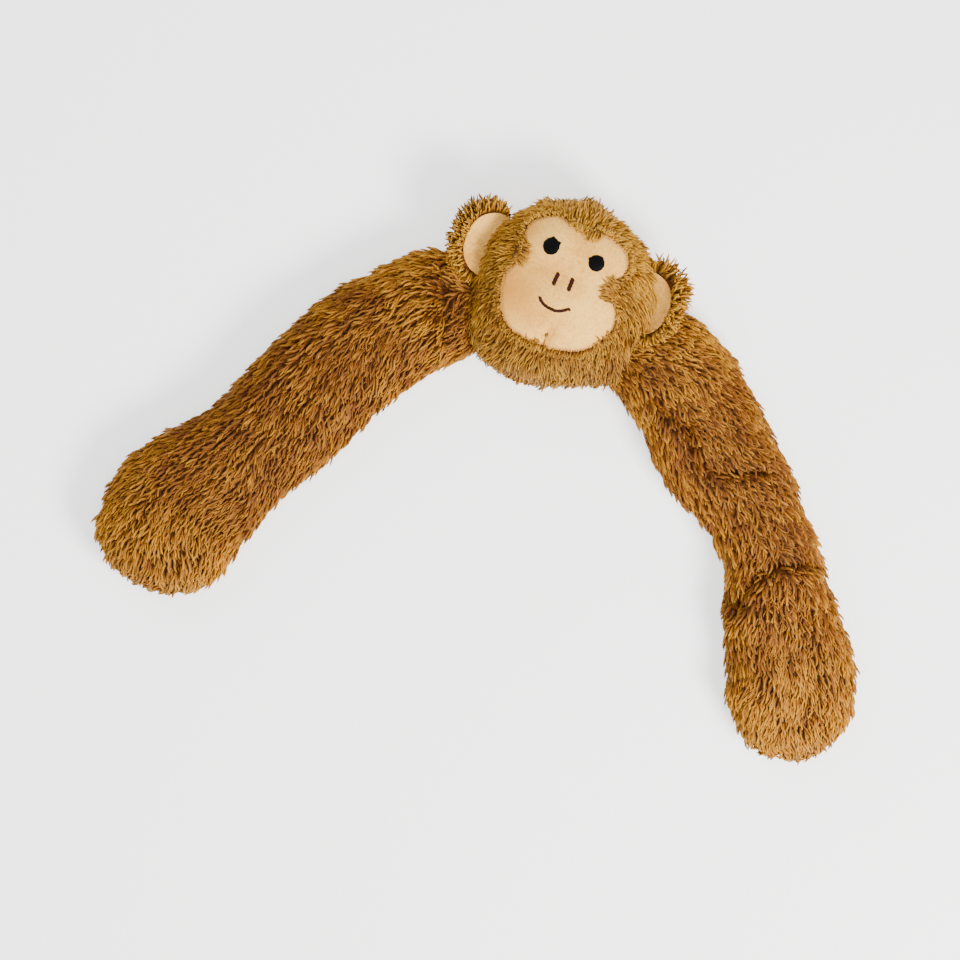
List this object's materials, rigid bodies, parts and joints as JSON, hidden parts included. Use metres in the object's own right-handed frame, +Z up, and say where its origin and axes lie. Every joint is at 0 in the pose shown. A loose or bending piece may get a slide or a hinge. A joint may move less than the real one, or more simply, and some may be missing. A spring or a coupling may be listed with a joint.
{
  "type": "stuffed monkey",
  "caption": "Plush monkey head with a cream face patch, two ears and two long floppy arms that end in paddle hands, lying on its back.",
  "frame": {"origin": "middle of the flat rest under the back of the head, on the table", "axes": "+Y from chin to crown, +X to the viewer's right as one looks at the face, +Z up, out of the face"},
  "size_m": [0.435, 0.2964, 0.0649],
  "materials": {
    "fur_plush": "matte",
    "face_cloth": "matte",
    "eye_thread": "satin",
    "line_thread": "satin",
    "fibre_fill": "matte",
    "squeaker_plastic": "satin"
  },
  "bodies": {
    "head": {"head_front_panel": "fur_plush", "head_back_panel": "fur_plush", "face_patch": "face_cloth", "left_eye_embroidery": "eye_thread", "right_eye_embroidery": "eye_thread", "nostril_embroidery": "line_thread", "mouth_embroidery": "line_thread", "head_stuffing": "fibre_fill", "squeaker_bulb": "squeaker_plastic", "squeaker_reed": "squeaker_plastic"},
    "left_ear": {"left_ear_back": "fur_plush", "left_ear_lining": "face_cloth"},
    "right_ear": {"right_ear_back": "fur_plush", "right_ear_lining": "face_cloth"},
    "left_shoulder": {"left_shoulder_gather": "fur_plush"},
    "left_upper_arm": {"left_upper_arm_front_panel": "fur_plush", "left_upper_arm_back_panel": "fur_plush", "left_upper_arm_stuffing": "fibre_fill"},
    "left_forearm": {"left_forearm_front_panel": "fur_plush", "left_forearm_back_panel": "fur_plush", "left_forearm_stuffing": "fibre_fill"},
    "left_hand": {"left_hand_front_panel": "fur_plush", "left_hand_back_panel": "fur_plush", "left_hand_stuffing": "fibre_fill"},
    "right_shoulder": {"right_shoulder_gather": "fur_plush"},
    "right_upper_arm": {"right_upper_arm_front_panel": "fur_plush", "right_upper_arm_back_panel": "fur_plush", "right_upper_arm_stuffing": "fibre_fill"},
    "right_forearm": {"right_forearm_front_panel": "fur_plush", "right_forearm_back_panel": "fur_plush", "right_forearm_stuffing": "fibre_fill"},
    "right_hand": {"right_hand_front_panel": "fur_plush", "right_hand_back_panel": "fur_plush", "right_hand_stuffing": "fibre_fill"}
  },
  "joints": [
    {"name": "left_ear_flop", "type": "hinge", "parent": "head", "child": "left_ear", "pos_m": [-0.0508, 0.012, 0.034], "axis": [0, 1, 0], "range_deg": [-20, 60], "stiffness_Nm_per_rad": 0.02},
    {"name": "right_ear_flop", "type": "hinge", "parent": "head", "child": "right_ear", "pos_m": [0.0508, 0.012, 0.034], "axis": [0, -1, 0], "range_deg": [-20, 60], "stiffness_Nm_per_rad": 0.02},
    {"name": "left_shoulder_swing", "type": "hinge", "parent": "head", "child": "left_shoulder", "pos_m": [-0.05799, -0.02204, 0.02], "axis": [0, 0, -1], "range_deg": [-25, 60]},
    {"name": "left_shoulder_lift", "type": "hinge", "parent": "left_shoulder", "child": "left_upper_arm", "pos_m": [-0.05799, -0.02204, 0.02], "axis": [-0.809, 0.5878, 0], "range_deg": [0, 40]},
    {"name": "left_elbow_bend", "type": "hinge", "parent": "left_upper_arm", "child": "left_forearm", "pos_m": [-0.11089, -0.09485, 0.02], "axis": [0, 0, 1], "range_deg": [-80, 60]},
    {"name": "left_wrist_fold", "type": "hinge", "parent": "left_forearm", "child": "left_hand", "pos_m": [-0.14246, -0.15957, 0.02], "axis": [-0.8988, 0.4384, 0], "range_deg": [0, 90]},
    {"name": "right_shoulder_swing", "type": "hinge", "parent": "head", "child": "right_shoulder", "pos_m": [0.05799, -0.02204, 0.02], "axis": [0, 0, 1], "range_deg": [-50, 35]},
    {"name": "right_shoulder_lift", "type": "hinge", "parent": "right_shoulder", "child": "right_upper_arm", "pos_m": [0.05799, -0.02204, 0.02], "axis": [-0.5, -0.866, 0], "range_deg": [0, 40]},
    {"name": "right_elbow_bend", "type": "hinge", "parent": "right_upper_arm", "child": "right_forearm", "pos_m": [0.13594, -0.06704, 0.02], "axis": [0, 0, -1], "range_deg": [-85, 50]},
    {"name": "right_wrist_fold", "type": "hinge", "parent": "right_forearm", "child": "right_hand", "pos_m": [0.18317, -0.12138, 0.02], "axis": [-0.7547, -0.6561, 0], "range_deg": [0, 90]}
  ]
}
